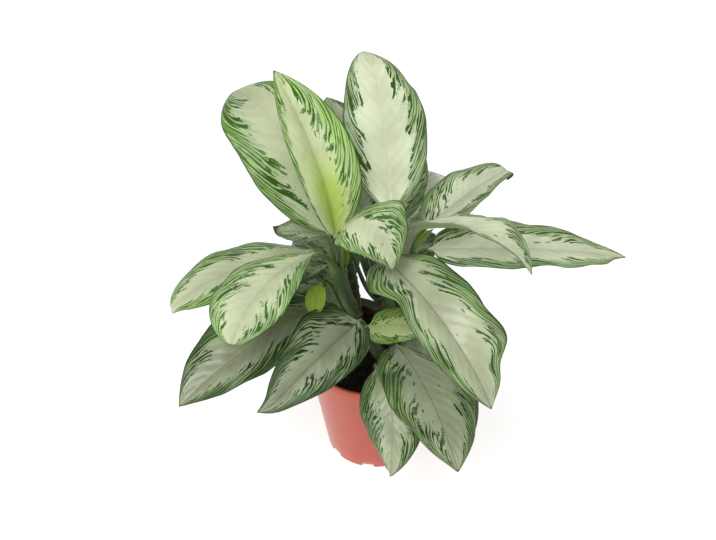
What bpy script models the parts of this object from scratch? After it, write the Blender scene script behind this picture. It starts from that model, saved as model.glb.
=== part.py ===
"""Chinese evergreen with silver leaves, growing in a round plastic nursery pot.

Metres, +Z up. The origin is the middle of the pot's underside, and the front is -Y.
Each cane, leaf and rolled new leaf is a solid of its own, as are the soil and the pot.
"""

import math

import bmesh
import bpy
import numpy as np

MM = 0.001
GAP = 0.3 * MM  # clearance between pieces that touch

# Nursery pot, 17 cm across the rim.
POT_HEIGHT = 145 * MM
POT_RIM_RADIUS = 85 * MM
POT_BASE_RADIUS = 58 * MM
POT_WALL = 1.6 * MM
POT_FLOOR = 2.0 * MM
POT_SIDES = 48
RIM_BAND = 12 * MM  # height of the band under the rim
RIM_STEP = 2 * MM  # how far the band stands out from the wall
RIM_LIP = 4 * MM  # width of the rim's rounded top
FOOT_SLOTS = 8
FOOT_SLOT_WIDTH = 15 * MM
FOOT_SLOT_HEIGHT = 4.5 * MM
FOOT_SLOT_TURN = math.radians(13.5)  # how far the ring of slots is turned
FOOT_SLOT_DEPTH = 14 * MM  # how far a slot runs in under the floor

# Soil.
SOIL_LEVEL = 134 * MM
SOIL_LUMPS = 2.0 * MM
SOIL_RINGS = 6

# Canes.
CANE_DEPTH = 45 * MM  # how deep they stand in the soil
CANE_SIDES = 10
CANE_BOW = 1.4  # exponent of the lean over height: 1 would be straight
SCAR_SPACING = 14 * MM  # between the rings left by fallen leaves
SCAR_HEIGHT = 2 * MM  # from a ring's crest to the plain cane above or below it
SCAR_CREST, SCAR_DIP = 1.10, 0.97  # radius at the crest and just above it, as shares

# Blades and leaf stalks.
BLADE = 0.8 * MM  # thickness
STALK_RADIUS = 2.6 * MM
STALK_SPREAD = 0.3  # how much flatter a stalk sets off than the straight way to its blade
ROOT_RADIUS = 3.6 * MM
RIB = 1.3  # depth of the midrib at the base, in stalk radii
TIP_HALF_WIDTH = 1.0 * MM
OUTLINE_BASE, OUTLINE_TIP = 0.72, 0.82  # exponents of the outline: lower is blunter
TIP_PINCH = 0.3  # share of the width taken off right at the tip, for a drawn-out point
WAVES = 3.2  # waves of a margin from base to tip
WAVE_LEAD = 0.3  # how far one margin's waves run ahead of the middle, in waves
BLADE_STEPS = (0.03, 0.09, 0.17, 0.26, 0.35, 0.45, 0.55, 0.65, 0.75, 0.84, 0.92, 0.97, 1.0)
STALK_STEPS = 5
COLUMNS = (-1.0, -0.55, 0.0, 0.55, 1.0)  # across the blade, margin to margin

# Canes: where each one leaves the pot's floor line and where its top is, in mm.
CANES = {
    "left": dict(foot=(-20, 16), top=(-31, 10), height=260, radius=7.0),
    "middle": dict(foot=(-16, -16), top=(-27, -22), height=232, radius=5.5),
    "right": dict(foot=(22, 6), top=(26, 12), height=256, radius=6.0),
    "front": dict(foot=(6, -36), top=(6, -42), height=180, radius=5.0),
    "back": dict(foot=(4, 42), top=(4, 54), height=226, radius=5.5),
}

# Leaves that have just opened, or not yet: they are a brighter green.
YOUNG = ("leaf_young_left", "leaf_young_front", "leaf_furled", "leaf_spear_left", "leaf_spear_right")

# Leaves, in mm and degrees. node is the height of the leaf's joint on its cane and base is
# where the blade starts. Headings run anticlockwise from +X, at the base and at the tip, and
# so do the pitches above level. roll lifts the blade's left side, fold is the V at the midrib
# and cup is how far each half bends down again towards its margin.
LEAVES = {
    # upright round the top
    "leaf_top": dict(cane="right", node=236, base=(15, 14, 333), heading=(94, 107), pitch=(50, -24),
                     bend=4.5, length=200, width=95, roll=9, fold=2, cup=20, wave=1.5),
    "leaf_top_left": dict(cane="left", node=218, base=(-55, 16, 299), heading=(136, 127), pitch=(66, -27),
                          bend=1.7, length=224, width=106, roll=-15, fold=5, cup=20, wave=1.5),
    "leaf_young_left": dict(cane="left", node=230, base=(-46, -2, 309), heading=(150, 136),
                            pitch=(82, 45), bend=1.2, length=198, width=90, roll=-22, fold=48, cup=20,
                            wave=0.5),
    "leaf_back_top": dict(cane="back", node=204, base=(-14, 54, 271), heading=(108, 110), pitch=(62, 0),
                          bend=1.6, length=180, width=80, roll=0, fold=12, cup=20, wave=1.5),
    "leaf_back_right": dict(cane="back", node=206, base=(20, 66, 272), heading=(70, 55), pitch=(58, 10),
                            bend=1.6, length=100, width=56, roll=0, fold=12, cup=20, wave=1.5),
    # round the middle
    "leaf_centre": dict(cane="middle", node=224, base=(-39, -20, 322), heading=(322, 312),
                        pitch=(80, -105), bend=1.1, length=121, width=82, roll=12, fold=0, cup=10,
                        wave=1.5),
    "leaf_small_left": dict(cane="back", node=176, base=(-54, 24, 290), heading=(178, 170),
                            pitch=(12, -15), bend=1.2, length=66, width=46, roll=0, fold=20, cup=25,
                            wave=1.0),
    "leaf_left_back": dict(cane="left", node=174, base=(-73, 8, 279), heading=(203, 213),
                           pitch=(12, -28), bend=1.2, length=180, width=88, roll=4, fold=8, cup=20,
                           wave=1.5),
    "leaf_left_front": dict(cane="middle", node=206, base=(-70, -26, 301), heading=(218, 254),
                            pitch=(6, -31), bend=1.2, length=152, width=88, roll=4, fold=15, cup=20,
                            wave=1.5),
    "leaf_right_back": dict(cane="right", node=220, base=(55, 28, 298), heading=(40, 34), pitch=(20, 5),
                            bend=1.2, length=140, width=78, roll=-5, fold=18, cup=20, wave=1.5),
    "leaf_right": dict(cane="right", node=226, base=(34, -14, 328), heading=(330, 326), pitch=(25, -62),
                       bend=2.2, length=163, width=92, roll=-22, fold=26, cup=25, wave=1.5),
    "leaf_far_right": dict(cane="right", node=192, base=(60, 9, 281), heading=(1, 4), pitch=(3, -14),
                           bend=1.2, length=225, width=86, roll=2, fold=18, cup=20, wave=2.0),
    "leaf_front_right": dict(cane="right", node=182, base=(9, -20, 290), heading=(295, 316),
                             pitch=(12, -62), bend=1.2, length=222, width=96, roll=8, fold=28, cup=20,
                             wave=2.5),
    # low, over the pot's rim
    "leaf_inner_left": dict(cane="middle", node=190, base=(-56, -9, 271), heading=(200, 200),
                            pitch=(5, -25), bend=1.2, length=100, width=50, roll=0, fold=15, cup=20,
                            wave=1.0),
    "leaf_low_left": dict(cane="middle", node=144, base=(-59, -18, 222), heading=(208, 220),
                          pitch=(-5, -30), bend=1.2, length=200, width=98, roll=-8, fold=22, cup=20,
                          wave=2.0),
    "leaf_low_front_left": dict(cane="front", node=156, base=(-21, -38, 215), heading=(243, 232),
                                pitch=(12, -12), bend=1.2, length=185, width=75, roll=-25, fold=22,
                                cup=20, wave=2.0),
    "leaf_front": dict(cane="front", node=142, base=(0, -60, 166), heading=(296, 254), pitch=(-10, -84),
                       bend=1.2, length=134, width=76, roll=20, fold=-4, cup=20, wave=1.5),
    "leaf_low_front_right": dict(cane="front", node=154, base=(22, -43, 184), heading=(292, 284),
                                 pitch=(12, -22), bend=1.2, length=196, width=102, roll=-15, fold=10,
                                 cup=20, wave=3.0),
    "leaf_low_right": dict(cane="right", node=146, base=(34, -20, 178), heading=(300, 284),
                           pitch=(-2, -42), bend=1.2, length=165, width=84, roll=0, fold=12, cup=20,
                           wave=1.5),
    "leaf_young_front": dict(cane="front", node=174, base=(-8, -48, 217), heading=(342, 348),
                             pitch=(25, -8), bend=1.2, length=75, width=50, roll=18, fold=8, cup=30,
                             wave=0.5),
    "leaf_furled": dict(cane="middle", node=181, base=(-62, -30, 261), heading=(250, 260), pitch=(-20, -75),
                        bend=1.2, length=37, width=27, roll=0, fold=35, cup=10, wave=0),
    "leaf_spear_left": dict(cane="middle", node=217, base=(-35, -5, 266), heading=(120, 120), pitch=(82, 80),
                            bend=1.2, length=46, width=13, roll=0, fold=60, cup=0, wave=0),
    "leaf_spear_right": dict(cane="right", node=244, base=(42, 12, 278), heading=(0, 0), pitch=(52, 58),
                             bend=1.2, length=36, width=13, roll=0, fold=60, cup=0, wave=0),
    # in the shade behind the canes
    "leaf_shaded_left": dict(cane="left", node=148, base=(-46, 44, 166), heading=(118, 114),
                             pitch=(4, -22), bend=1.2, length=118, width=80, roll=0, fold=10, cup=20,
                             wave=1.5),
    # round the back
    "leaf_rear_right": dict(cane="back", node=178, base=(24, 88, 244), heading=(66, 62), pitch=(20, -45),
                            bend=1.2, length=190, width=86, roll=0, fold=12, cup=20, wave=2.0),
    "leaf_rear_left": dict(cane="back", node=190, base=(-26, 82, 238), heading=(111, 113),
                           pitch=(10, -45), bend=1.2, length=140, width=88, roll=0, fold=12, cup=20,
                           wave=2.0),
    "leaf_rear_low_right": dict(cane="back", node=142, base=(40, 70, 160), heading=(54, 52),
                                pitch=(2, -45), bend=1.2, length=120, width=80, roll=0, fold=12, cup=20,
                                wave=2.0),
    "leaf_rear_low_left": dict(cane="back", node=166, base=(-38, 66, 178), heading=(112, 116),
                               pitch=(25, -28), bend=1.2, length=132, width=80, roll=0, fold=12, cup=20,
                               wave=2.0),
    "leaf_rear_low": dict(cane="back", node=154, base=(24, 86, 168), heading=(80, 76), pitch=(20, -28),
                          bend=1.2, length=140, width=86, roll=0, fold=12, cup=20, wave=2.0),
}


def unit(v):
    """Vectors of length one, along the last axis."""
    return v / np.linalg.norm(v, axis=-1, keepdims=True)


def direction(heading, pitch):
    """Unit vectors for headings and pitches in radians."""
    level = np.cos(pitch)
    return np.stack([level * np.cos(heading), level * np.sin(heading), np.sin(pitch)], -1)


def material(name, colour, roughness):
    mat = bpy.data.materials.new(name)
    mat.use_nodes = True
    shader = mat.node_tree.nodes["Principled BSDF"]
    shader.inputs["Base Color"].default_value = (*colour, 1.0)
    shader.inputs["Roughness"].default_value = roughness
    shader.inputs["Metallic"].default_value = 0.0
    return mat


def add_object(name, verts, faces, mat=None, smooth=True):
    """A mesh object from plain arrays, with its faces turned outwards."""
    mesh = bpy.data.meshes.new(name)
    mesh.from_pydata([tuple(map(float, v)) for v in verts], [], [tuple(map(int, f)) for f in faces])
    form = bmesh.new()
    form.from_mesh(mesh)
    bmesh.ops.recalc_face_normals(form, faces=form.faces[:])
    form.to_mesh(mesh)
    form.free()
    if smooth:
        mesh.shade_smooth()
        mesh.set_sharp_from_angle(angle=math.radians(40))
    obj = bpy.data.objects.new(name, mesh)
    bpy.context.scene.collection.objects.link(obj)
    if mat:
        mesh.materials.append(mat)
    return obj


def cut(obj, cutter):
    """Takes cutter out of obj with a live Boolean and keeps the cutter out of the model."""
    step = obj.modifiers.new("cut_" + cutter.name, "BOOLEAN")
    step.operation = "DIFFERENCE"
    step.object = cutter
    cutter.hide_render = True
    cutter.display_type = "WIRE"


def turned(name, profile, sides, mat=None):
    """A solid of revolution from (radius, height) points, both ends of which lie on the axis."""
    angles = np.linspace(0, 2 * math.pi, sides, endpoint=False)
    verts = []
    rings = []
    for radius, height in profile:
        if radius == 0:
            rings.append([len(verts)] * sides)
            verts.append((0, 0, height))
        else:
            rings.append(list(range(len(verts), len(verts) + sides)))
            verts += [(radius * math.cos(a), radius * math.sin(a), height) for a in angles]
    faces = []
    for low, high in zip(rings, rings[1:]):
        for i in range(sides):
            corners = [low[i], low[(i + 1) % sides], high[(i + 1) % sides], high[i]]
            faces.append(list(dict.fromkeys(corners)))
    return add_object(name, verts, faces, mat)


def pot_wall_radius(z):
    """Outer radius of the pot's wall, below the rim band, at a height."""
    top = POT_RIM_RADIUS - RIM_STEP - 0.5 * MM
    return POT_BASE_RADIUS + (top - POT_BASE_RADIUS) * z / POT_HEIGHT


def build_pot(mat):
    """A tapered wall with a rounded rim band, a flat floor and drainage slots at the foot."""
    band = POT_HEIGHT - RIM_BAND
    inside = POT_RIM_RADIUS - RIM_LIP
    profile = [
        (0, 0),
        (POT_BASE_RADIUS - 1 * MM, 0),
        (POT_BASE_RADIUS, 1 * MM),
        (pot_wall_radius(band), band),
        (POT_RIM_RADIUS - 0.6 * MM, band + 1.2 * MM),
        (POT_RIM_RADIUS, POT_HEIGHT - 2.2 * MM),
        (POT_RIM_RADIUS - 0.7 * MM, POT_HEIGHT - 0.7 * MM),
        (POT_RIM_RADIUS - 2.0 * MM, POT_HEIGHT),
        (inside + 0.6 * MM, POT_HEIGHT - 0.4 * MM),
        (inside, POT_HEIGHT - 1.6 * MM),
        (pot_wall_radius(band) - POT_WALL, band),
        (pot_wall_radius(POT_FLOOR) - POT_WALL, POT_FLOOR),
        (0, POT_FLOOR),
    ]
    pot = turned("pot", profile, POT_SIDES, mat)
    mouth = POT_BASE_RADIUS - FOOT_SLOT_DEPTH
    for i in range(FOOT_SLOTS):
        angle = FOOT_SLOT_TURN + 2 * math.pi * (i + 0.5) / FOOT_SLOTS
        half = FOOT_SLOT_WIDTH / 2
        section = [(-half, -2 * MM), (half, -2 * MM), (half, FOOT_SLOT_HEIGHT - 2 * MM),
                   (half - 2 * MM, FOOT_SLOT_HEIGHT), (2 * MM - half, FOOT_SLOT_HEIGHT),
                   (-half, FOOT_SLOT_HEIGHT - 2 * MM)]
        verts = [(r, y, z) for r in (mouth, POT_BASE_RADIUS + 4 * MM) for y, z in section]
        n = len(section)
        faces = [list(range(n)), list(range(n, 2 * n))]
        faces += [[k, (k + 1) % n, n + (k + 1) % n, n + k] for k in range(n)]
        slot = add_object(f"foot_slot_{i + 1}", verts, faces, smooth=False)
        slot.rotation_euler.z = angle
        cut(pot, slot)
    return pot


def cane_axis(cane, z):
    """The middle of a cane at heights z, as points: it leans and bows a little."""
    foot = np.array(cane["foot"]) * MM
    top = np.array(cane["top"]) * MM
    low = SOIL_LEVEL
    t = (np.asarray(z) - low) / (cane["height"] * MM - low)
    plan = foot + (top - foot) * np.sign(t)[..., None] * np.abs(t)[..., None] ** CANE_BOW
    return np.concatenate([plan, np.asarray(z)[..., None]], -1)


def tube(name, points, radii, sides, mat=None):
    """A closed tube of round rings that lie level, for a shape that stands near upright."""
    angles = np.linspace(0, 2 * math.pi, sides, endpoint=False)
    ring = np.stack([np.cos(angles), np.sin(angles), 0 * angles], -1)
    verts = (points[:, None] + ring[None] * np.asarray(radii)[:, None, None]).reshape(-1, 3)
    faces = [list(range(sides)), list(range(len(verts) - sides, len(verts)))]
    for i in range(len(points) - 1):
        for k in range(sides):
            a, b = i * sides + k, i * sides + (k + 1) % sides
            faces.append([a, b, b + sides, a + sides])
    return add_object(name, verts, faces, mat)


def cane_mesh(name, cane, grow, mat=None):
    """A cane with raised leaf scars. grow widens it all round, for cutting what it meets."""
    top = cane["height"] * MM
    radius = cane["radius"] * MM
    heights = [SOIL_LEVEL - CANE_DEPTH - grow]
    radii = [radius]
    scar = SOIL_LEVEL + SCAR_SPACING / 2
    while scar < top - SCAR_SPACING / 2:
        heights += [scar - SCAR_HEIGHT, scar, scar + SCAR_HEIGHT]
        radii += [radius, radius * SCAR_CREST, radius * SCAR_DIP]
        scar += SCAR_SPACING
    heights.append(top + grow)
    radii.append(radius * 0.8)
    points = cane_axis(cane, np.array(heights))
    return tube(name, points, np.array(radii) + grow, CANE_SIDES, mat)


def build_soil(mat):
    """A plug that fills the pot to just under its rim, with a lumpy top and holes for the canes."""
    rng = np.random.default_rng(7)
    edge = SOIL_LEVEL - 4 * MM
    foot = POT_FLOOR + GAP
    reach = pot_wall_radius(edge) - POT_WALL - GAP
    angles = np.linspace(0, 2 * math.pi, POT_SIDES, endpoint=False)
    ring = np.stack([np.cos(angles), np.sin(angles)], -1)
    shares = np.linspace(1, 0, SOIL_RINGS, endpoint=False)
    verts = [(*(xy * (pot_wall_radius(foot) - POT_WALL - GAP)), foot) for xy in ring]
    for share in shares:
        lumps = rng.uniform(-1, 1, POT_SIDES) * SOIL_LUMPS * (share < 1)
        level = edge + (SOIL_LEVEL - edge) * (1 - share) ** 0.5
        verts += [(*(xy * reach * share), level + lump) for xy, lump in zip(ring, lumps)]
    verts.append((0, 0, SOIL_LEVEL))
    n = POT_SIDES
    faces = [list(range(n))]
    for i in range(SOIL_RINGS):
        for k in range(n):
            a, b = i * n + k, i * n + (k + 1) % n
            faces += [[a, b, b + n], [a, b + n, a + n]]
    last = SOIL_RINGS * n
    faces += [[last + k, last + (k + 1) % n, last + n] for k in range(n)]
    return add_object("soil", verts, faces, mat)


def blade_outline(t):
    """Half-width of a leaf as a share of its widest, from base (0) to tip (1)."""
    p, q = OUTLINE_BASE, OUTLINE_TIP
    widest = p / (p + q)
    body = (t / widest) ** p * (np.maximum(1 - t, 0) / (1 - widest)) ** q
    return body * (1 - TIP_PINCH * t**10)


def midrib(leaf, t):
    """Points and the frame (along, left, up) on the midrib at shares t of its length."""
    fine = np.linspace(0, 1, 201)
    heading = np.radians(leaf["heading"][0] + (leaf["heading"][1] - leaf["heading"][0]) * fine)
    pitch = np.radians(leaf["pitch"][0] + (leaf["pitch"][1] - leaf["pitch"][0]) * fine ** leaf["bend"])
    along = direction(heading, pitch)
    steps = (along[1:] + along[:-1]) / 2 * leaf["length"] * MM / 200
    path = np.concatenate([[np.zeros(3)], np.cumsum(steps, 0)]) + np.array(leaf["base"]) * MM
    level = np.stack([-np.sin(heading), np.cos(heading), 0 * heading], -1)
    up = np.cross(along, level)
    roll = np.radians(leaf["roll"])
    left = math.cos(roll) * level + math.sin(roll) * up
    up = np.cross(along, left)

    def pick(values):
        return np.stack([np.interp(t, fine, values[:, k]) for k in range(3)], -1)

    return pick(path), unit(pick(along)), unit(pick(left)), unit(pick(up))


def blade_surface(leaf, t, v):
    """The blade's middle surface at shares t of its length and v across, from -1 to 1 (left)."""
    point, _, left, up = midrib(leaf, t)
    half = np.maximum(leaf["width"] / 2 * MM * blade_outline(t), TIP_HALF_WIDTH)
    slope = np.radians(leaf["fold"] - leaf["cup"] * np.abs(v) / 2)
    across = v * np.cos(slope)
    wave = leaf["wave"] * MM * v**2 * np.sin(math.pi * t)[:, None]
    turns = WAVES * t[:, None] + WAVE_LEAD * np.sign(v)
    wave = wave * np.sin(2 * math.pi * turns + leaf["length"])
    lift = half[:, None] * (np.abs(v) * np.sin(slope))[None] + wave
    sideways = left[:, None] * (half[:, None] * across)[..., None]
    return point[:, None] + sideways + up[:, None] * lift[..., None]


def stalk_share(leaf):
    """Short leaves have thinner stalks: the share of the full thickness."""
    return max(0.6, min(1.0, math.sqrt(leaf["length"] / 120)))


def stalk_rings(leaf, count):
    """Rings of the leaf stalk, from the cane's axis to the blade, each as top and bottom rows."""
    start = cane_axis(CANES[leaf["cane"]], np.array(leaf["node"] * MM))
    point, along, left, _ = (x[0] for x in midrib(leaf, np.array([0.0])))
    span = point - start
    reach = np.linalg.norm(span)
    level = unit(np.array([span[0], span[1], 0]) + 1e-9)
    leave = unit(unit(span) + STALK_SPREAD * level)
    ctrl = np.array([start, start + leave * reach * 0.4, point - along * reach * 0.3, point])
    t = np.linspace(0, 1, count + 1)[:, None]
    path = ((1 - t) ** 3 * ctrl[0] + 3 * (1 - t) ** 2 * t * ctrl[1]
            + 3 * (1 - t) * t**2 * ctrl[2] + t**3 * ctrl[3])
    slope = 3 * ((1 - t) ** 2 * (ctrl[1] - ctrl[0]) + 2 * (1 - t) * t * (ctrl[2] - ctrl[1])
                 + t**2 * (ctrl[3] - ctrl[2]))
    ahead = unit(slope)
    side = unit(left - ahead * (ahead @ left)[:, None])
    above = np.cross(ahead, side)
    radius = (ROOT_RADIUS + (STALK_RADIUS - ROOT_RADIUS) * t)[..., None] * stalk_share(leaf)
    n = len(COLUMNS)
    rows = []
    for half in (1, -1):
        angle = math.pi * (np.arange(n) + 0.5) / n
        cos, sin = -np.cos(angle)[None, :, None], half * np.sin(angle)[None, :, None]
        rows.append(path[:, None] + radius * (side[:, None] * cos + above[:, None] * sin))
    return rows


def loft(name, top, bottom, mat):
    """A closed skin over rows of top and bottom points, split into like triangles on both."""
    rows, n = top.shape[:2]
    verts = np.concatenate([top.reshape(-1, 3), bottom.reshape(-1, 3)])
    under = rows * n
    faces = []
    for i in range(rows - 1):
        for j in range(n - 1):
            a, b, c, d = i * n + j, i * n + j + 1, (i + 1) * n + j + 1, (i + 1) * n + j
            faces += [[a, b, c], [a, c, d]]
            faces += [[under + a, under + c, under + b], [under + a, under + d, under + c]]
        for j in (0, n - 1):
            a, d = i * n + j, (i + 1) * n + j
            faces += [[a, d, under + d], [a, under + d, under + a]]
    for i in (0, rows - 1):
        for j in range(n - 1):
            a, b = i * n + j, i * n + j + 1
            faces.append([a, b, under + b, under + a])
    return add_object(name, verts, faces, mat)


def build_leaf(name, leaf, mat):
    """One leaf: stalk and blade in a single skin, cut to fit round its cane."""
    t = np.array(BLADE_STEPS)
    v = np.array(COLUMNS)
    middle = blade_surface(leaf, t, v)
    normal = unit(np.cross(np.gradient(middle, axis=0), np.gradient(middle, axis=1)))
    rib = STALK_RADIUS * stalk_share(leaf) * RIB * (1 - t) ** 2
    depth = np.full(middle.shape[:2], BLADE / 2)
    depth[:, len(COLUMNS) // 2] += rib
    top = middle + normal * BLADE / 2
    bottom = middle - normal * depth[..., None]
    stalk_top, stalk_bottom = stalk_rings(leaf, STALK_STEPS)
    top = np.concatenate([stalk_top, top])
    bottom = np.concatenate([stalk_bottom, bottom])
    return loft(name, top, bottom, mat)


def main():
    for obj in list(bpy.data.objects):
        bpy.data.objects.remove(obj)
    plastic = material("terracotta_plastic", (0.62, 0.13, 0.07), 0.35)
    earth = material("potting_soil", (0.02, 0.013, 0.01), 0.95)
    bark = material("cane_bark", (0.10, 0.075, 0.035), 0.7)
    green = material("leaf_silver_green", (0.25, 0.38, 0.2), 0.45)
    young = material("leaf_young_green", (0.35, 0.5, 0.12), 0.4)
    build_pot(plastic)
    soil = build_soil(earth)
    cutters = {}
    for key, cane in CANES.items():
        cane_mesh("cane_" + key, cane, 0, bark)
        cutters[key] = cane_mesh("seat_" + key, cane, GAP)
        cut(soil, cutters[key])
    for name, leaf in LEAVES.items():
        obj = build_leaf(name, leaf, young if name in YOUNG else green)
        cut(obj, cutters[leaf["cane"]])


main()
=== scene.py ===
# A potted chinese evergreen with silver leaves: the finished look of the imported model.
import functools
import math

import bpy
import numpy as np
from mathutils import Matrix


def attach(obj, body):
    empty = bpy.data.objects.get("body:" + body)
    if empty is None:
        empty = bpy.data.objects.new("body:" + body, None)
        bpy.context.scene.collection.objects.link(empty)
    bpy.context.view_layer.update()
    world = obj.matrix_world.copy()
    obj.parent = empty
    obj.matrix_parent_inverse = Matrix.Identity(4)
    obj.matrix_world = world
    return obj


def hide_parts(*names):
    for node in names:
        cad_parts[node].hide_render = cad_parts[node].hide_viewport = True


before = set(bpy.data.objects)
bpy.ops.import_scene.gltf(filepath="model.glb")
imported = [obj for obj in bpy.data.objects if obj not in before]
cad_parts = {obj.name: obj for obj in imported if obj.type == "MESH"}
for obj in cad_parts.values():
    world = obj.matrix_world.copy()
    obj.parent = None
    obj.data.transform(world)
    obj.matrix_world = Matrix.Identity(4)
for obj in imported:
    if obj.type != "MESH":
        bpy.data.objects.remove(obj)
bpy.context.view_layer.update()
mm = 0.001
scene = bpy.context.scene
scene.view_settings.view_transform = "Standard"  # hex colours come out as they are


def linearColour(code):
    # sRGB hex to linear red, green, blue and alpha
    parts = np.array([int(code[i:i + 2], 16) / 255 for i in (1, 3, 5)])
    linear = np.where(parts <= 0.04045, parts / 12.92, ((parts + 0.055) / 1.055) ** 2.4)
    return (*map(float, linear), 1.0)


def putInScene(name, data):
    made = bpy.data.objects.new(name, data)
    scene.collection.objects.link(made)
    return made


def feedSocket(target, value):
    # a number or colour is set; a socket, or a node's first live output, is linked
    if isinstance(value, bpy.types.Node):
        value = next(socket for socket in value.outputs if socket.enabled)
    if isinstance(value, bpy.types.NodeSocket):
        target.id_data.links.new(value, target)
    else:
        target.default_value = value


def addNode(tree, kind, inputs=(), **settings):
    # One shader node. settings are its properties. inputs are numbers, colours, sockets or nodes,
    # by socket name or in the order of its live sockets.
    made = tree.nodes.new("ShaderNode" + kind)
    for name, value in settings.items():
        setattr(made, name, value)
    if not isinstance(inputs, dict):
        inputs = dict(zip([socket for socket in made.inputs if socket.enabled], inputs))
    for key, value in inputs.items():
        feedSocket(made.inputs[key] if isinstance(key, str) else key, value)
    return made


# what many nodes are set to
times, plus, less = ({"operation": name} for name in ("MULTIPLY", "ADD", "SUBTRACT"))
eased, coloured = {"interpolation_type": "SMOOTHSTEP"}, {"data_type": "RGBA"}


def newFinish(name):
    # an empty material: (material, what adds a node to it, shader)
    made = bpy.data.materials.new(name)
    made.use_nodes = True
    return made, functools.partial(addNode, made.node_tree), made.node_tree.nodes["Principled BSDF"]


def setFinish(shader, **values):
    # the shader's sockets, by name with _ for a space
    for name, value in values.items():
        feedSocket(shader.inputs[name.replace("_", " ")], value)


def fillRamp(ramp, stops):
    # stops are (place, colour) from left to right
    bar = ramp.color_ramp
    while len(bar.elements) < len(stops):
        bar.elements.new(0.5)
    for stop, (place, value) in zip(bar.elements, stops):
        stop.position = place
        stop.color = linearColour(value)
    return ramp


cameraSettings = {
    "target": (-0.021, 0.0, 0.259),
    "elevation": 38,  # degrees above level
    "distance": 1.41,
    "lens": 63,
    "sensor": 36,
}


def setCamera(s):
    lens = bpy.data.cameras.new("studioCamera")
    lens.lens = s["lens"]
    lens.sensor_width = s["sensor"]
    lens.sensor_fit = "HORIZONTAL"
    lens.clip_start, lens.clip_end = 0.01, 50
    lens.dof.use_dof = False
    holder = putInScene("studioCamera", lens)
    rise = math.radians(s["elevation"])
    x, y, z = s["target"]
    away = s["distance"] * math.cos(rise)
    holder.location = (x, y - away, z + s["distance"] * math.sin(rise))
    holder.rotation_euler = (math.pi / 2 - rise, 0, 0)
    scene.camera = holder


setCamera(cameraSettings)
print("camera set")

studioSettings = {
    "skyLight": 0.32,  # what the white room gives the plant
    "floorSize": 8.0,
    "floorColour": "#bdbcbb",
    "floorGlow": 0.74,
    # place, aimed at, size in metres, watts
    "lamps": {
        "keyLamp": ((-0.8, -1.5, 2.1), (0, 0, 0.25), 1.3, 35),
        "sideLamp": ((-1.5, -0.5, 0.35), (0, 0, 0.1), 0.8, 5),
        "fillLamp": ((1.7, -1.2, 1.5), (0, 0, 0.2), 1.8, 7),
        "topLamp": ((0.1, 0.5, 2.3), (0, 0, 0.2), 1.6, 12),
    },
}


def setStudio(s):
    world = bpy.data.worlds.new("whiteStudio")
    scene.world = world
    world.use_nodes = True
    tree = world.node_tree
    sky = tree.nodes["Background"]
    seen = addNode(tree, "LightPath").outputs["Is Camera Ray"]  # the room is plain white to the eye
    strength = addNode(tree, "MapRange", (seen, 0.0, 1.0, s["skyLight"], 1.0))
    setFinish(sky, Color=(1, 1, 1, 1), Strength=strength)
    for name, (place, aim, size, watts) in s["lamps"].items():
        lamp = bpy.data.lights.new(name, "AREA")
        lamp.shape = "SQUARE"
        lamp.size = size
        lamp.energy = watts
        holder = putInScene(name, lamp)
        holder.location = place
        x, y, z = np.array(aim, float) - np.array(place)
        tilt = math.atan2(z, math.hypot(x, y))
        holder.rotation_euler = (math.pi / 2 + tilt, 0, math.atan2(y, x) - math.pi / 2)
    # a sheet of matt white card that glows a little, like an over-lit floor
    half = s["floorSize"] / 2
    mesh = bpy.data.meshes.new("studioFloor")
    corners = [(-half, -half, 0), (half, -half, 0), (half, half, 0), (-half, half, 0)]
    mesh.from_pydata(corners, [], [(0, 1, 2, 3)])
    floor = putInScene("studioFloor", mesh)
    card, _, shader = newFinish("mattWhiteCard")
    setFinish(shader, Base_Color=linearColour(s["floorColour"]), Emission_Color=(1, 1, 1, 1))
    setFinish(shader, Roughness=0.9, Specular_IOR_Level=0.1, Emission_Strength=s["floorGlow"])
    mesh.materials.append(card)


setStudio(studioSettings)
print("light and floor set")


def smoothStep(low, high, x):
    # 0 below low, 1 above high, and an S curve between
    t = np.clip((x - low) / (high - low), 0, 1)
    return t * t * (3 - 2 * t)


def unitVectors(v):
    return v / np.linalg.norm(v, axis=-1, keepdims=True)


def ringAngles(s):
    return np.linspace(0, 2 * math.pi, s["sides"], endpoint=False)


def turned(radius, height, angles):
    # (radius cos angle, radius sin angle, height)
    radius, height = np.broadcast_arrays(radius + 0 * angles, height + 0 * angles)
    return np.stack([radius * np.cos(angles), radius * np.sin(angles), height], -1)


def ringSkin(name, points, finish, node, marks=()):
    # Joins rows of points, each row a closed ring, into one skin with a face at each end. marks
    # are attributes by name. The skin rides on the root and stands for the node. The sign of its
    # volume, from point times face normal, says if it is inside out.
    rows, sides = points.shape[:2]
    index = np.arange(rows * sides).reshape(rows, sides)
    after = np.roll(index, -1, 1)
    quads = np.stack([index[:-1], after[:-1], after[1:], index[1:]], -1).reshape(-1, 4)
    flat = points.reshape(-1, 3)
    a, b, c, d = (flat[quads[:, k]] for k in range(4))
    centre = flat.mean(0)
    volume = np.einsum("ij,ij->i", (a + b + c + d) / 4 - centre, np.cross(c - a, d - b)).sum()
    faces = quads.tolist() + [index[0][::-1].tolist(), index[-1].tolist()]
    if volume < 0:
        faces = [face[::-1] for face in faces]
    mesh = bpy.data.meshes.new(name)
    mesh.from_pydata(flat.tolist(), [], faces)
    for label, values in dict(marks).items():
        spread = np.broadcast_to(np.asarray(values, float), (rows, sides, 3))
        layer = mesh.attributes.new(label, "FLOAT_VECTOR", "POINT")
        layer.data.foreach_set("vector", np.ascontiguousarray(spread, dtype=np.float32).ravel())
    mesh.shade_smooth()
    mesh.materials.append(finish)
    piece = putInScene(name, mesh)
    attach(piece, "root")
    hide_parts(node)


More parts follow.
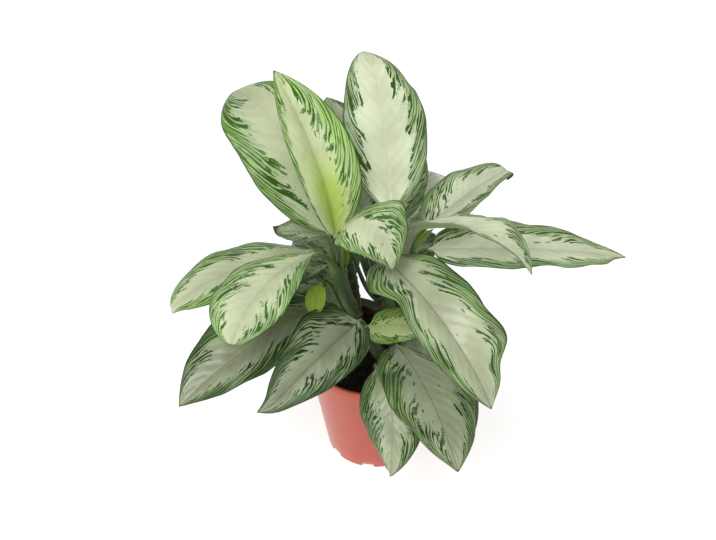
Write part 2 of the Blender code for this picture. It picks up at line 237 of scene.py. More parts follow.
potSettings = {
    "height": 145 * mm,
    "rimRadius": 85 * mm,
    "footRadius": 58 * mm,
    "wall": 1.6 * mm,
    "bandHeight": 12 * mm,
    "bandStep": 2 * mm,  # how far the band stands out from the wall
    "lip": 4 * mm,
    "sides": 240,
    "footRing": 8 * mm,  # width of the ring it stands on
    "slots": 8,
    "slotTurn": math.radians(13.5),  # how far the ring of slots is turned
    "slotWidth": 15 * mm,
    "slotHeight": 4.5 * mm,
    "colours": ("#b04530", "#be5a42"),  # the plastic, and where it is scuffed and dusty
    "rimColour": "#c8573c",
    # painted shade and soil stain on the inner wall above the soil
    "shadeAndStainColour": "#2a1c12",
    "grain": 0.35 * mm,  # the mould's fine texture, drawn a little coarse so that it shows
    "scuff": 71.43 * mm,  # across a scuffed patch
    "dustTop": 25 * mm,  # how high the dust reaches
    "dust": 0.45,
    "rowEvery": 9 * mm,  # on the long straight runs
}


def potWallRadius(s, z):
    # the outer wall's radius, a straight line from the foot to just inside the band
    top = s["rimRadius"] - s["bandStep"] - 0.5 * mm
    return s["footRadius"] + (top - s["footRadius"]) * z / s["height"]


def roundedProfile(corners, steps=7):
    # Corners are (radius, height, rounding). Each but the first and last becomes a quadratic
    # curve that starts and stops its rounding away, or nearly half a side if that is less.
    places = np.array([c[:2] for c in corners])
    out = [places[0]]
    rounding = [c[2] for c in corners[1:]]
    for before, here, beyond, soft in zip(places, places[1:], places[2:], rounding):
        back, on = before - here, beyond - here
        start = here + back * min(0.49, soft / (np.linalg.norm(back) + 1e-9))
        stop = here + on * min(0.49, soft / (np.linalg.norm(on) + 1e-9))
        t = np.linspace(0, 1, steps)[:, None]
        out += list((1 - t) ** 2 * start + 2 * (1 - t) * t * here + t**2 * stop)
    out.append(places[-1])
    return np.array(out)


def buildPot(s, finish):
    # A turned skin: the profile (radius, height) is carried round the axis. In each foot slot
    # the foot ring is lifted to the slot's height, with a short ramp at both sides.
    foot, wall, rim, top = (s[name] for name in ("footRadius", "wall", "rimRadius", "height"))
    band = top - s["bandHeight"]
    inside = rim - s["lip"]
    floor = s["slotHeight"] + 0.3 * mm
    corners = [
        (0.01 * mm, floor, 0),
        (foot - s["footRing"] - 1.5 * mm, floor, 1 * mm),
        (foot - s["footRing"], 0, 0.8 * mm),
        (foot - 0.2 * mm, 0, 1 * mm),
        (potWallRadius(s, band), band, 0.5 * mm),
        (rim - 0.3 * mm, band + 0.6 * mm, 0.6 * mm),
        (rim, top - 6 * mm, 1 * mm),
        (rim - 0.4 * mm, top, 2.8 * mm),
        (inside, top - 0.1 * mm, 1.2 * mm),
        (inside - 0.3 * mm, top - 3 * mm, 1 * mm),
        (potWallRadius(s, band) - wall, band - 2 * mm, 2 * mm),
        (potWallRadius(s, floor) - wall, floor + wall, 1.5 * mm),
        (0.01 * mm, floor + wall, 0),
    ]
    profile = roundedProfile(corners)
    # more rows on long straight runs keep the shading even
    fine = [profile[:1]]
    for low, high in zip(profile, profile[1:]):
        count = max(1, int(np.linalg.norm(high - low) / s["rowEvery"]))
        fine.append(low + (high - low) * (np.arange(1, count + 1) / count)[:, None])
    profile = np.concatenate(fine)
    angles = ringAngles(s)
    radius, height = profile[:, :1], profile[:, 1:]
    turn = 2 * math.pi / s["slots"]
    off = np.abs(((angles - s["slotTurn"]) / turn) % 1 - 0.5) * turn * foot  # from a slot's middle
    side = s["slotWidth"] / 2
    lift = 1 - smoothStep(side - 1.2 * mm, side + 0.6 * mm, off)
    inRing = (radius > foot - s["footRing"] - 1.2 * mm) & (height < s["slotHeight"])
    height = np.where(inRing, np.maximum(height, s["slotHeight"] * lift), height)
    ringSkin("pot_skin", turned(radius, height, angles), finish, "pot")


def terracottaPlastic(s):
    # Injection-moulded polypropylene coloured terracotta: an even satin gloss with a soft sheen
    # line along each edge, a fine moulded grain, light scuffs, dust at the foot, and painted shade
    # with soil stain on the inner wall above the soil.
    made, add, shader = newFinish("terracottaPolypropylene")
    spot = add("TexCoord").outputs["Object"]
    height = add("SeparateXYZ", (spot,)).outputs["Z"]
    patches = {"Vector": spot, "Scale": 1 / s["scuff"], "Detail": 4.0, "Roughness": 0.6}
    cloud = add("TexNoise", patches)
    dust = add("MapRange", (height, 0.0, s["dustTop"], s["dust"], 0.0), **eased)
    scuffed = add("Math", (cloud, dust), use_clamp=True, **plus)
    body = add("Mix", (scuffed, *map(linearColour, s["colours"])), **coloured)
    edge = s["height"] - s["bandHeight"]
    band = add("MapRange", (height, edge - 1.5 * mm, edge + 0.5 * mm))
    body = add("Mix", (band, body, linearColour(s["rimColour"])), **coloured)
    # painted shade and watering's soil stain on the inner wall, in patches up to the lip
    level = add("VectorMath", (spot, (1, 1, 0)), **times)
    fromAxis = add("VectorMath", (level,), operation="LENGTH").outputs["Value"]
    # the wall's middle below the band, just past the lip's inner edge above it
    wallMiddle = potWallRadius(s, edge) - s["wall"] / 2 - 0.4 * mm
    lipEdge = s["rimRadius"] - s["lip"] + 0.8 * mm
    limit = add("MapRange", (height, edge + 0.3 * mm, edge + 1.5 * mm, wallMiddle, lipEdge))
    beyond = add("Math", (fromAxis, limit), **less)
    inside = add("MapRange", (beyond, -0.5 * mm, 0.5 * mm, 1.0, 0.0), **eased)
    aboveSoil = add("MapRange", (height, edge - 4 * mm, edge - 2 * mm))
    smear = add("MapRange", (cloud, 0.3, 0.6, 0.75, 1.0), **eased)
    shadeAndStain = add("Math", (add("Math", (inside, aboveSoil), **times), smear), **times)
    body = add("Mix", (shadeAndStain, body, linearColour(s["shadeAndStainColour"])), **coloured)
    grain = add("TexNoise", {"Vector": spot, "Scale": 1 / s["grain"], "Detail": 2.0})
    bump = add("Bump", {"Height": grain, "Strength": 0.06, "Distance": 0.2 * mm})
    rough = add("MapRange", (cloud, 0.0, 1.0, 0.30, 0.44))
    setFinish(shader, Base_Color=body, Roughness=rough, Normal=bump, IOR=1.49)
    # the skin that a polished mould leaves
    setFinish(shader, Specular_IOR_Level=0.3, Coat_Weight=0.4, Coat_Roughness=0.06)
    return made


buildPot(potSettings, terracottaPlastic(potSettings))
print("pot built")

soilSettings = {
    "level": 134 * mm,
    "edgeDrop": 4 * mm,
    "foot": 7.2 * mm,
    "sides": 240,
    "rings": 80,
    "lump": 1.6 * mm,
    "lumpSizes": (12 * mm, 4.5 * mm, 2 * mm),
    "lumpShares": (0.6, 0.8, 0.7),
    "gap": 0.3 * mm,  # to the pot
    "seed": 7,
    "crumb": 3 * mm,
    "fibre": 2 * mm,
    "earth": [(0.3, "#0b0806"), (0.55, "#211911"), (0.68, "#3c2d21"), (0.8, "#6b543d")],
    "bark": "#543d29",
}


def valueNoise(x, y, cell, seed):
    # smooth noise from -1 to 1 on a plane: random values on a square lattice of the cell's size,
    # joined by S curves
    rng = np.random.default_rng(seed)
    table = rng.uniform(-1, 1, (256, 256))
    u, v = x / cell + 100, y / cell + 100
    i, j = np.floor(u).astype(int), np.floor(v).astype(int)
    f, g = u - i, v - j
    f, g = f * f * (3 - 2 * f), g * g * (3 - 2 * g)
    near, far = (table[i % 256, k % 256] * (1 - f) + table[(i + 1) % 256, k % 256] * f
                 for k in (j, j + 1))
    return near * (1 - g) + far * g


def buildSoil(s, finish):
    # A turned plug whose top is lifted by three sizes of noise, which fade over the outer twelfth,
    # and sinks towards the wall.
    edge = s["level"] - s["edgeDrop"]
    inset = potSettings["wall"] + s["gap"]
    reach = potWallRadius(potSettings, edge) - inset
    footReach = potWallRadius(potSettings, s["foot"]) - inset
    angles = ringAngles(s)
    inwards = np.linspace(1, 0.001, s["rings"])[:, None]
    x, y = reach * inwards * np.cos(angles), reach * inwards * np.sin(angles)
    noises = [valueNoise(x, y, size, s["seed"] + k) for k, size in enumerate(s["lumpSizes"])]
    noises[-1] = np.abs(noises[-1])  # crumbs only stand out
    lumps = sum(noise * share for noise, share in zip(noises, s["lumpShares"]))
    swell = s["edgeDrop"] * np.sqrt(1 - inwards * 0.999)
    z = edge + swell + lumps * s["lump"] * np.minimum(1, (1 - inwards) * 12)
    top = np.stack([x, y, z], -1)
    up = np.linspace(0, 1, 6)[:-1, None]
    side = turned(footReach + (reach - footReach) * up, s["foot"] + (edge - s["foot"]) * up, angles)
    ringSkin("soil_bed", np.concatenate([side, top]), finish, "soil")


def pottingSoil(s):
    # Moist, crumbled peat and bark: nearly black, matt, with paler fibres and bark chips.
    made, add, shader = newFinish("moistPeatPottingMix")
    spot = add("TexCoord").outputs["Object"]
    crumbs = add("TexVoronoi", {"Vector": spot, "Scale": 1 / s["crumb"], "Randomness": 1.0})
    fibres = {"Vector": spot, "Scale": 1 / s["fibre"], "Detail": 5.0, "Roughness": 0.7}
    fine = add("TexNoise", fibres)
    earth = fillRamp(add("ValToRGB", (fine,)), s["earth"])
    chips = add("MapRange", (crumbs.outputs["Color"], 0.86, 0.9))
    mixed = add("Mix", (chips, earth, linearColour(s["bark"])), **coloured)
    height = add("Math", (fine, crumbs.outputs["Distance"]), **less)
    bump = add("Bump", {"Height": height, "Strength": 0.8, "Distance": 1 * mm})
    setFinish(shader, Base_Color=mixed, Normal=bump, Roughness=0.95, Specular_IOR_Level=0.25)
    return made


buildSoil(soilSettings, pottingSoil(soilSettings))
print("soil built")

caneSettings = {
    # foot and top on plan, height and radius, in mm
    "stems": {
        "left": ((-20, 16), (-31, 10), 260, 7.0),
        "middle": ((-16, -16), (-27, -22), 232, 5.5),
        "right": ((22, 6), (26, 12), 256, 6.0),
        "front": ((6, -36), (6, -42), 180, 5.0),
        "back": ((4, 42), (4, 54), 226, 5.5),
    },
    "bow": 1.4,
    "depth": 45 * mm,
    "scarSpacing": 14 * mm,
    "sides": 40,
    "rings": 190,
    "ridge": 0.10,  # how far a scar stands out, as a share of the radius
    "ridgeWidth": 0.9 * mm,
    "swell": 0.02,
    "wrinkle": 0.012,
    "wrinkleCounts": (7, 900),  # round a cane, and in radians to a metre up it
    "scarTilt": 0.09,  # of a scar's ring, as a share of the spacing
    "mottle": 8.333 * mm,
    "taper": (0.2, 30 * mm),  # the top's taper, and how far down it starts
    "dome": 3 * mm,
    "skin": [(0.3, "#1e2610"), (0.55, "#353e20"), (0.75, "#535632")],
    "scarColour": "#4c4a30",
}


def caneAxis(s, stem, z):
    # foot + (top - foot) times height share to the power of bow
    foot, top, height, _ = stem
    foot, top = np.array(foot) * mm, np.array(top) * mm
    t = (np.asarray(z) - soilSettings["level"]) / (height * mm - soilSettings["level"])
    plan = foot + (top - foot) * np.sign(t)[..., None] * np.abs(t)[..., None] ** s["bow"]
    return np.concatenate([plan, np.asarray(z)[..., None]], -1)


def buildCanes(s, finish):
    # A tube of level rings whose radius rises in a sharp ridge at each leaf scar, swells a little
    # at the scars, wrinkles finely, and tapers to a dome at the top.
    angles = ringAngles(s)
    narrower, taperLength = s["taper"]
    around, upwards = s["wrinkleCounts"]
    for number, (name, stem) in enumerate(s["stems"].items()):
        height, radius = stem[2] * mm, stem[3] * mm
        z = np.linspace(soilSettings["level"] - s["depth"], height, s["rings"])
        level = z[:, None]
        phase = (level - soilSettings["level"]) / s["scarSpacing"] - 0.5
        phase = phase + s["scarTilt"] * np.sin(angles + number)
        off = np.abs(phase - np.round(phase)) * s["scarSpacing"]
        ridge = s["ridge"] * np.exp(-((off / s["ridgeWidth"]) ** 2))
        swell = s["swell"] * np.cos(2 * math.pi * phase)
        wrinkle = s["wrinkle"] * np.sin(angles * around + number) * np.sin(level * upwards)
        taper = 1 - narrower * smoothStep(height - taperLength, height, level)
        dome = np.sqrt(np.clip((height - level) / s["dome"], 0.0004, 1))
        r = radius * (1 + ridge + swell + wrinkle) * taper * dome
        points = caneAxis(s, stem, z)[:, None] + turned(r, 0, angles)
        ringSkin("cane_stem_" + name, points, finish, "cane_" + name)


def caneSkin(s):
    # Waxy living cane skin: green, turning dry and straw-brown round the leaf scars.
    made, add, shader = newFinish("waxyGreenCane")
    spot = add("TexCoord").outputs["Object"]
    height = add("SeparateXYZ", (spot,)).outputs["Z"]
    noise = add("TexNoise", {"Vector": spot, "Scale": 1 / s["mottle"], "Detail": 4.0})
    rise = add("Math", (height, soilSettings["level"]), **less)
    turns = add("Math", (rise, 2 * math.pi / s["scarSpacing"]), **times)
    wave = add("Math", (turns,), operation="COSINE")
    scars = add("MapRange", (wave, -1.0, -0.55, 1.0, 0.0))
    skin = fillRamp(add("ValToRGB", (noise,)), s["skin"])
    mixed = add("Mix", (scars, skin, linearColour(s["scarColour"])), **coloured)
    bump = add("Bump", {"Height": noise, "Strength": 0.3, "Distance": 0.5 * mm})
    setFinish(shader, Base_Color=mixed, Normal=bump, Roughness=0.6, Specular_IOR_Level=0.3)
    return made


buildCanes(caneSettings, caneSkin(caneSettings))
print("canes built")

leafSettings = {
    "rows": 120,  # along a blade
    "endCrowding": 0.18,  # how much closer the rows are at both ends
    "stalkRows": 22,
    "halfColumns": 20,  # across each half
    "ribCrowding": 1.35,  # over 1 brings the columns closer at the midrib
    "thickness": 0.8 * mm,
    "grooveDepth": 0.55 * mm,  # over the midrib
    "grooveWidth": 1.3 * mm,
    "ribDepth": 1.3,  # under the midrib, in stalk radii
    "ribEnd": 0.7 * mm,  # the midrib's half width at the tip
    "tipHalfWidth": 0.5 * mm,
    "joinShare": 0.04,  # share of the blade over which it grows out of the stalk
    "stalkRadius": 2.6 * mm,
    "rootRadius": 3.6 * mm,
    "stalkSpread": 0.3,
    "fullStalkFrom": 120,  # mm of blade that need a full stalk
    "thinnestStalk": 0.6,
    "sheathSwell": 0.9,
    "channelDepth": 0.35,
    "channelWidth": 0.35,
    "waves": 3.2,
    "waveLead": 0.3,
    "ripples": (5.3, 8.1, 11.7),  # finer waves of the margin, to a leaf's length
    "rippleHeight": 2.2 * mm,
    "veinPairs": 12,
    "quiltDepth": 0.28 * mm,
    "fullQuiltFrom": 60,  # mm of width
    "stripes": 19.0,  # green stripes to a leaf's length
    "seedStep": 3.7,  # from one leaf's noise to the next
    "rippleSeed": 100,
    "stalkSpan": 0.3,  # a stalk's length in the place mark, where a blade has 1
    "ragged": 1.923 * mm,  # notches in the edges of the green
    "cloud": 33.33 * mm,  # soft lighter and darker patches
    "cell": 1.111 * mm,  # far coarser than a leaf's real cells, so that they show
    "young": ("young_left", "young_front", "furled", "spear_left", "spear_right"),
}

# Each leaf, in mm and degrees, as leafFields lists it. node is its joint's height, base where the
# blade starts, heading and pitch are at base and tip, bend is how late the pitch bends, tone runs
# from 0, grey green with painted shade and an older leaf's duller colour, to 1, bright silver, and
# fresh from 0, deep green, to 1, yellow green.
leafTable = [
    ["top", "right", 236, (15, 14, 333), (94, 107), (50, -24), 4.5,
     200, 95, 9, 2, 20, 1.5, 1.05, 0.22],
    ["top_left", "left", 218, (-55, 16, 299), (136, 127), (66, -27), 1.7,
     224, 106, -15, 5, 20, 1.5, 0.38, 0.55],
    ["young_left", "left", 230, (-46, -2, 309), (150, 136), (82, 45), 1.2,
     198, 90, -22, 48, 20, 0.5, 1, 1],
    ["back_top", "back", 204, (-14, 54, 271), (108, 110), (62, 0), 1.6,
     180, 80, 0, 12, 20, 1.5, 0.15, 0.1],
    ["back_right", "back", 206, (20, 66, 272), (70, 55), (58, 10), 1.6,
     100, 56, 0, 12, 20, 1.5, 0.7, 0],
    ["centre", "middle", 224, (-39, -20, 322), (322, 312), (80, -105), 1.1,
     121, 82, 12, 0, 10, 1.5, 0.65, 0.45],
    ["small_left", "back", 176, (-54, 24, 290), (178, 170), (12, -15), 1.2,
     66, 46, 0, 20, 25, 1, 0.45, 0.05],
    ["left_back", "left", 174, (-73, 8, 279), (203, 213), (12, -28), 1.2,
     180, 88, 4, 8, 20, 1.5, 0.5, 0.5],
    ["left_front", "middle", 206, (-70, -26, 301), (218, 254), (6, -31), 1.2,
     152, 88, 4, 15, 20, 1.5, 0.55, 0.6],
    ["right_back", "right", 220, (55, 28, 298), (40, 34), (20, 5), 1.2,
     140, 78, -5, 18, 20, 1.5, 0.62, 0.1],
    ["right", "right", 226, (34, -14, 328), (330, 326), (25, -62), 2.2,
     163, 92, -22, 26, 25, 1.5, 0.85, 0.35],
    ["far_right", "right", 192, (60, 9, 281), (1, 4), (3, -14), 1.2,
     225, 86, 2, 18, 20, 2, 0.88, 0.15],
    ["front_right", "right", 182, (9, -20, 290), (295, 316), (12, -62), 1.2,
     222, 96, 8, 28, 20, 2.5, 0.4, 0.24],
    ["inner_left", "middle", 190, (-56, -9, 271), (200, 200), (5, -25), 1.2,
     100, 50, 0, 15, 20, 1, 0.1, 0.2],
    ["low_left", "middle", 144, (-59, -18, 222), (208, 220), (-5, -30), 1.2,
     200, 98, -8, 22, 20, 2, 0.16, 0],
    ["low_front_left", "front", 156, (-21, -38, 215), (243, 232), (12, -12), 1.2,
     185, 75, -25, 22, 20, 2, 0.1, 0],
    ["front", "front", 142, (0, -60, 166), (296, 254), (-10, -84), 1.2,
     134, 76, 20, -4, 20, 1.5, 0.2, 0.2],
    ["low_front_right", "front", 154, (22, -43, 184), (292, 284), (12, -22), 1.2,
     196, 102, -15, 10, 20, 3, 0.3, 0.1],
    ["low_right", "right", 146, (34, -20, 178), (300, 284), (-2, -42), 1.2,
     165, 84, 0, 12, 20, 1.5, 0.15, 0.1],
    ["young_front", "front", 174, (-8, -48, 217), (342, 348), (25, -8), 1.2,
     75, 50, 18, 8, 30, 0.5, 0.15, 0.9],
    ["furled", "middle", 181, (-62, -30, 261), (250, 260), (-20, -75), 1.2,
     37, 27, 0, 35, 10, 0, 0.4, 1],
    ["shaded_left", "left", 148, (-46, 44, 166), (118, 114), (4, -22), 1.2,
     118, 80, 0, 10, 20, 1.5, 0.0, 0],
    ["spear_left", "middle", 217, (-35, -5, 266), (120, 120), (82, 80), 1.2,
     46, 13, 0, 60, 0, 0, 0.4, 1],
    ["spear_right", "right", 244, (42, 12, 278), (0, 0), (52, 58), 1.2,
     36, 13, 0, 60, 0, 0, 0.4, 1],
    ["rear_right", "back", 178, (24, 88, 244), (66, 62), (20, -45), 1.2,
     190, 86, 0, 12, 20, 2, 0.6, 0.15],
    ["rear_left", "back", 190, (-26, 82, 238), (111, 113), (10, -45), 1.2,
     140, 88, 0, 12, 20, 2, 0.6, 0.2],
    ["rear_low_right", "back", 142, (40, 70, 160), (54, 52), (2, -45), 1.2,
     120, 80, 0, 12, 20, 2, 0.35, 0.1],
    ["rear_low_left", "back", 166, (-38, 66, 178), (112, 116), (25, -28), 1.2,
     132, 80, 0, 12, 20, 2, 0.02, 0.1],
    ["rear_low", "back", 154, (24, 86, 168), (80, 76), (20, -28), 1.2,
     140, 86, 0, 12, 20, 2, 0.3, 0.1],
]
leafFields = ("name", "cane", "node", "base", "heading", "pitch", "bend",
              "length", "width", "roll", "fold", "cup", "wave", "tone", "fresh")

# left and right are where the green begins on each half at base, middle and tip, as a share of
# the half width from the midrib. rib is the midrib's tone (-1 dark, 1 pale), flush how yellow the
# lower midrib's sides are, plain how far each half is an even yellow green, tipBrown the dried
# share of the tip, and brown a blemish: along, across, and size as a share of the length.
# mostly green marks that paint the shade on the darkest leaves at the back
nearlyGreen = {"left": (0.05, 0.15, 0.3), "right": (0.05, 0.15, 0.3)}
leafMarks = {
    "top": {"left": (0.72, 0.62, 0.66), "right": (0.55, 0.52, 0.55), "rib": 0.8},
    "top_left": {"left": (0.46, 0.46, 0.25), "right": (0.75, 0.75, 0.4), "rib": -0.2},
    "young_left": {"left": (0.97, 0.88, 0.55), "right": (0.67, 0.5, 0.42), "rib": 0.3,
        "flush": 1.0, "plain": (0.12, 0.0)},
    "low_front_left": {"left": (0.3, 0.42, 0.45), "right": (0.3, 0.42, 0.4), "rib": -0.8},
    "low_front_right": {"left": (0.6, 0.6, 0.62), "right": (0.24, 0.3, 0.42), "rib": -0.8},
    "front_right": {"left": (0.45, 0.58, 0.66), "right": (0.4, 0.5, 0.6), "rib": -0.8},
    "front": {"left": (0.25, 0.38, 0.45), "right": (0.25, 0.38, 0.4), "rib": -0.4,
        "brown": (0.55, 0.75, 0.04)},
    "low_left": {"left": (0.45, 0.6, 0.6), "right": (0.55, 0.55, 0.55), "rib": 0.3},
    "far_right": {"left": (0.5, 0.5, 0.5), "right": (0.62, 0.68, 0.6), "rib": -0.1},
    "right": {"left": (0.95, 0.62, 0.25), "right": (0.92, 0.85, 0.7), "rib": 0.2},
    "centre": {"left": (0.0, 0.22, 0.42), "right": (0.5, 0.55, 0.6), "rib": -0.1},
    "young_front": {"left": (0.08, 0.14, 0.22), "right": (0.66, 0.64, 0.6), "rib": 0.0,
        "plain": (0.38, 0.3)},
    "furled": {"plain": (0.9, 0.9), "rib": 0.0},
    "spear_left": {"plain": (1.0, 1.0), "rib": 0.0},
    "spear_right": {"plain": (1.0, 1.0), "rib": 0.0},
    "small_left": {"tipBrown": 0.16},
    "right_back": {"tipBrown": 0.09, "left": (0.2, 0.45, 0.55), "right": (0.55, 0.7, 0.6)},
    "shaded_left": nearlyGreen,
    "rear_low_left": nearlyGreen,
    "inner_left": {"left": (0.2, 0.25, 0.35), "right": (0.2, 0.25, 0.35)},
}
plainMarks = {"left": (0.5, 0.5, 0.45), "right": (0.5, 0.5, 0.45), "rib": -0.3, "flush": 0.0,
    "plain": (0.0, 0.0), "tipBrown": 0.02, "brown": (0, 0, 0)}

# How a leaf departs from plainShape. base and tip are its outline's exponents, left and right
# (share of length, share of the half width) along each half, calm how much of the fine margin
# waves it has, quilt how deep its side veins lie, hook how far the tip turns in pitch and heading
# from hookFrom on, and wing how far the stalk's left and right edges stand out, in mm.
leafShapes = {
    "top": {"base": 0.6, "tip": 0.68, "left": ((0, 1), (0.45, 0.95), (0.8, 0.9), (1, 0.88)),
        "right": ((0, 1.12), (0.45, 1.12), (0.66, 1.1), (0.74, 1.0), (1, 1))},
    "centre": {"tip": 0.95,
        "left": ((0, 0.6), (0.22, 0.72), (0.5, 1.15), (0.68, 1), (0.85, 0.72), (1, 0.8))},
    "top_left": {"tip": 0.5, "left": ((0, 1.35), (0.3, 1.2), (0.6, 1.02), (0.8, 1.04), (1, 1))},
    "young_front": {"base": 0.3, "tip": 0.6},
    "left_front": {"base": 0.95, "tip": 0.58, "wing": (16, 0)},
    "inner_left": {"wing": (5, 5)},
    "shaded_left": {"base": 0.32, "left": ((0, 1.5), (0.3, 1.15), (0.6, 1), (1, 1))},
    "low_front_right": {"quilt": 2.2},
    "right_back": {"base": 0.6, "calm": 0.3, "hook": (-118, 0), "hookFrom": 0.82,
        "right": ((0, 1), (0.3, 0.85), (0.6, 0.66), (1, 0.8))},
    "far_right": {"base": 0.42,
        "right": ((0, 1.05), (0.5, 1), (0.76, 1.16), (0.87, 1.45), (0.94, 1), (1, 0.9))},
    "right": {"left": ((0, 0.7), (0.35, 0.78), (0.7, 1), (1, 1))},
    "small_left": {"hook": (75, 0), "hookFrom": 0.8},
    "front": {"base": 0.5, "hook": (0, -50)},
    "low_front_left": {"quilt": 1.6, "hook": (0, -35), "hookFrom": 0.84, "base": 0.5,
        "right": ((0, 1.3), (0.3, 1.2), (0.6, 1), (1, 1))},
    "left_back": {"base": 0.8, "tip": 0.76, "calm": 0.3, "hook": (-60, 0), "hookFrom": 0.9},
    "front_right": {
        "right": ((0, 1.1), (0.12, 1.35), (0.22, 1.3), (0.36, 0.72), (0.5, 0.84), (0.7, 1), (1, 1)),
        "left": ((0, 1), (0.55, 0.96), (0.74, 1.3), (0.83, 0.98), (0.92, 1.15), (1, 1))},
    "young_left": {"calm": 0.3},
}
plainShape = {"base": 0.72, "tip": 0.82, "left": ((0, 1), (1, 1)), "right": ((0, 1), (1, 1)),
    "calm": 0.7, "quilt": 1.0, "hook": (0, 0), "hookFrom": 0.94, "wing": (0, 0)}


def leafDirection(heading, pitch):
    # (cos pitch cos heading, cos pitch sin heading, sin pitch)
    level = np.cos(pitch)
    return np.stack([level * np.cos(heading), level * np.sin(heading), np.sin(pitch)], -1)


def easeThrough(t, knots):
    # passes through (place, value) knots with an S curve between each two
    out = np.full_like(t, knots[0][1], dtype=float)
    for (low, _), (high, value) in zip(knots, knots[1:]):
        out = out + (value - out) * smoothStep(low, high, t)
    return out


def leafOutline(shape, t):
    # half width as a share of the widest: (t/w)^p ((1-t)/(1-w))^q, pinched by 0.3 t^10 at the tip
    p, q = shape["base"], shape["tip"]
    widest = p / (p + q)
    body = (t / widest) ** p * (np.maximum(1 - t, 0) / (1 - widest)) ** q
    return body * (1 - 0.3 * t**10)


def leafMidrib(leaf, t, hook, hookFrom):
    # The midrib's heading turns evenly, its pitch as a power of the share of length, with a hook
    # over its last bit, and its points are the running sum of its direction.
    # Returns points, along, left and up.
    fine = np.linspace(0, 1, 401)
    end = smoothStep(hookFrom, 1.0, fine)
    (headAt, headTo), (pitchAt, pitchTo) = leaf["heading"], leaf["pitch"]
    heading = np.radians(headAt + (headTo - headAt) * fine + hook[1] * end)
    pitch = np.radians(pitchAt + (pitchTo - pitchAt) * fine ** leaf["bend"] + hook[0] * end)
    along = leafDirection(heading, pitch)
    steps = (along[1:] + along[:-1]) / 2 * leaf["length"] * mm / 400
    path = np.concatenate([[np.zeros(3)], np.cumsum(steps, 0)]) + np.array(leaf["base"]) * mm
    level = np.stack([-np.sin(heading), np.cos(heading), 0 * heading], -1)
    up = np.cross(along, level)
    roll = np.radians(leaf["roll"])
    left = math.cos(roll) * level + math.sin(roll) * up
    up = np.cross(along, left)
    parts = (path, along, left, up)
    return tuple(np.stack([np.interp(t, fine, part[:, k]) for k in range(3)], -1) for part in parts)


def veinPlace(t, v):
    # Where on the midrib the side vein through (t, v) starts: side veins set off at about 45
    # degrees and sweep ever more towards the tip, so it is t - (0.20 a + 0.08 a^2 + 0.17 a^4).
    a = np.abs(v)
    return t - (0.20 * a + 0.08 * a**2 + 0.17 * a**4)


def bladeGrid(s):
    # Places on a leaf: t along the blade, 0 to 1, closer at both ends, and v round a ring, from
    # -1 to 1 over the top and back underneath, closer at the midrib. side is 1 on top, -1 under.
    n = s["halfColumns"]
    u = np.linspace(-1, 1, 2 * n + 1)
    across = np.sign(u) * np.abs(u) ** s["ribCrowding"]
    v = np.concatenate([across, across[-2:0:-1]])[None]
    side = np.concatenate([np.ones(2 * n + 1), -np.ones(2 * n - 1)])[None]
    side = np.where(np.abs(v) > 0.9999, 0, side)
    e = np.linspace(0, 1, s["rows"])
    t = (1 - s["endCrowding"]) * e + s["endCrowding"] * (1 - np.cos(math.pi * e)) / 2
    return t[:, None], v, side


def bladeRings(s, leaf, shape, number, midrib, stalk, t, v, side):
    # A sheet that rises from the midrib at the fold's angle, less half the cup at the margin,
    # with waves. Its skin has a groove over the midrib, a rib under it and quilting between the
    # side veins, and grows out of the stalk's circle. Gives the rings and how far each point is
    # from the midrib.
    a = np.abs(v)
    point, _, left, up = (part[:, None] for part in midrib)
    half = leaf["width"] / 2 * mm * leafOutline(shape, t)
    half = half * np.where(v > 0, easeThrough(t, shape["left"]), easeThrough(t, shape["right"]))
    half = np.maximum(half, s["tipHalfWidth"] * np.sqrt(np.clip((1 - t) / 0.01, 0.02, 1)))
    slope = np.radians(leaf["fold"] - leaf["cup"] * a / 2)
    turns = s["waves"] * t + s["waveLead"] * np.sign(v)
    swing = np.sin(2 * math.pi * turns + leaf["length"])  # the length sets where it starts
    wave = leaf["wave"] * mm * v**2 * np.sin(math.pi * t) * swing
    rng = np.random.default_rng(s["rippleSeed"] + number)
    ripple = 0
    for count in s["ripples"]:
        shift = rng.uniform(0, 2 * math.pi, 2)  # each margin has its own
        ripple = ripple + np.sin(2 * math.pi * count * t + np.where(v > 0, *shift)) / count
    ripple = ripple * s["rippleHeight"] * shape["calm"] * min(1, leaf["wave"])
    ripple = ripple * a**4 * np.sin(math.pi * t) ** 0.7
    lift = half * a * np.sin(slope) + wave + ripple
    sheet = point + left * (half * v * np.cos(slope))[..., None] + up * lift[..., None]
    # the sheet's normal, from its two directions
    rowWay = np.gradient(sheet, axis=0)
    rise = np.sign(v) * np.sin(slope) + 0 * t
    columnWay = left * np.cos(slope)[..., None] + up * rise[..., None]
    normal = unitVectors(np.cross(rowWay, columnWay))
    phase = np.cos(2 * math.pi * s["veinPairs"] * veinPlace(t, v))
    inBlade = smoothStep(0.02, 0.25, a) * (1 - smoothStep(0.75, 1, a))
    inBlade = inBlade * smoothStep(0, 0.1, t) * (1 - smoothStep(0.85, 1, t))
    quilt = -s["quiltDepth"] * shape["quilt"] * (0.5 + 0.5 * phase) ** 2 * inBlade
    quilt = quilt * min(1, leaf["width"] / s["fullQuiltFrom"])
    x = half * v
    rim = np.sqrt(np.clip(1 - a**8, 0, 1))
    groove = s["grooveDepth"] * np.exp(-((x / s["grooveWidth"]) ** 2)) * (1 - t)
    ribWidth = stalk * (1 - t) ** 0.8 + s["ribEnd"]
    rib = stalk * s["ribDepth"] * (1 - t) ** 1.6 * np.sqrt(np.clip(1 - (x / ribWidth) ** 2, 0, 1))
    over = s["thickness"] / 2 * rim - groove
    under = -s["thickness"] / 2 * rim - rib
    skin = np.where(side > 0, over, np.where(side < 0, under, 0)) + quilt
    blade = sheet + normal * skin[..., None]
    circle = point + left * (stalk * v)[..., None]
    circle = circle + up * (stalk * side * np.sqrt(1 - v**2))[..., None]
    grown = smoothStep(0, s["joinShare"], t)[..., None]
    return circle * (1 - grown) + blade * grown, x


